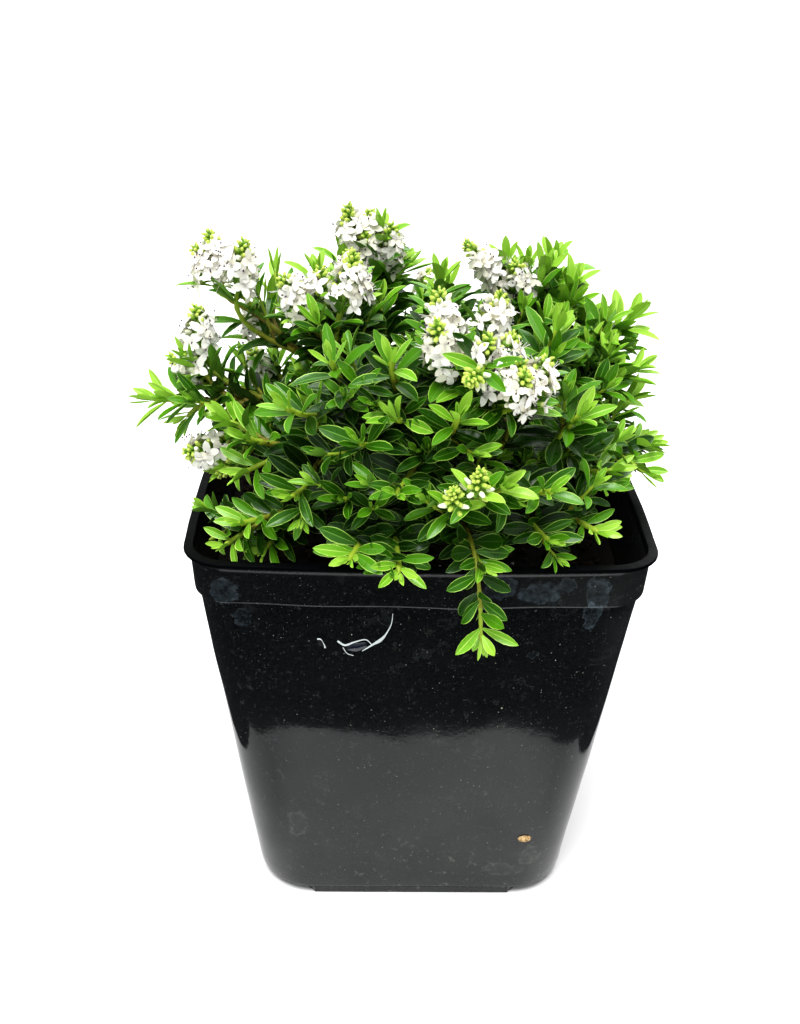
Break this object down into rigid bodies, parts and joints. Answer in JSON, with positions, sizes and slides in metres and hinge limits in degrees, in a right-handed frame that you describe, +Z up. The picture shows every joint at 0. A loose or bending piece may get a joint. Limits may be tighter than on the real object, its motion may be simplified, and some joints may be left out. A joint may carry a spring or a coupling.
{
  "type": "hebe shrub",
  "caption": "Low, bushy hebe shrub with pairs of small glossy leaves and short spikes of white flowers, in a square black nursery pot filled with compost.",
  "frame": {"origin": "middle of the flat foot that the pot stands on", "axes": "+Z up along the pot's axis; +Y towards the back, away from the side with the trailing shoot; X along the pot's front side"},
  "size_m": [0.2013, 0.2125, 0.2477],
  "materials": {
    "pot": "satin",
    "soil": "rough",
    "bark": "rough",
    "green_wood": "satin",
    "foliage": "satin"
  },
  "bodies": {
    "root": {"pot": "pot", "soil": "soil", "trunk": "bark", "bough_left_arm": "green_wood", "bough_left_spike": "green_wood", "bough_left_high": "green_wood", "bough_left_back": "green_wood", "bough_top_left": "green_wood", "bough_top_back": "green_wood", "bough_front_left_high": "green_wood", "bough_front_high": "green_wood", "bough_front_face": "green_wood", "bough_flower_main": "green_wood", "bough_flower_back": "green_wood", "bough_back_right": "green_wood", "bough_right_top": "green_wood", "bough_right_upper": "green_wood", "bough_right_mid": "green_wood", "bough_right_low": "green_wood", "bough_right_corner": "green_wood", "bough_front_right": "green_wood", "bough_front_bright": "green_wood", "bough_front_trail": "green_wood", "bough_front_low": "green_wood", "bough_left_corner": "green_wood", "bough_left_front": "green_wood", "bough_centre": "green_wood", "bough_back_left": "green_wood", "bough_back_low": "green_wood", "bough_back_mid": "green_wood", "bough_back_low_right": "green_wood", "foliage_left_arm": "foliage", "foliage_left_spike": "foliage", "foliage_left_high": "foliage", "foliage_left_back": "foliage", "foliage_top_left": "foliage", "foliage_top_back": "foliage", "foliage_front_left_high": "foliage", "foliage_front_high": "foliage", "foliage_front_face": "foliage", "foliage_flower_main": "foliage", "foliage_flower_back": "foliage", "foliage_back_right": "foliage", "foliage_right_top": "foliage", "foliage_right_upper": "foliage", "foliage_right_mid": "foliage", "foliage_right_low": "foliage", "foliage_right_corner": "foliage", "foliage_front_right": "foliage", "foliage_front_bright": "foliage", "foliage_front_trail": "foliage", "foliage_front_low": "foliage", "foliage_left_corner": "foliage", "foliage_left_front": "foliage", "foliage_centre": "foliage", "foliage_back_left": "foliage", "foliage_back_low": "foliage", "foliage_back_mid": "foliage", "foliage_back_low_right": "foliage"}
  },
  "joints": []
}
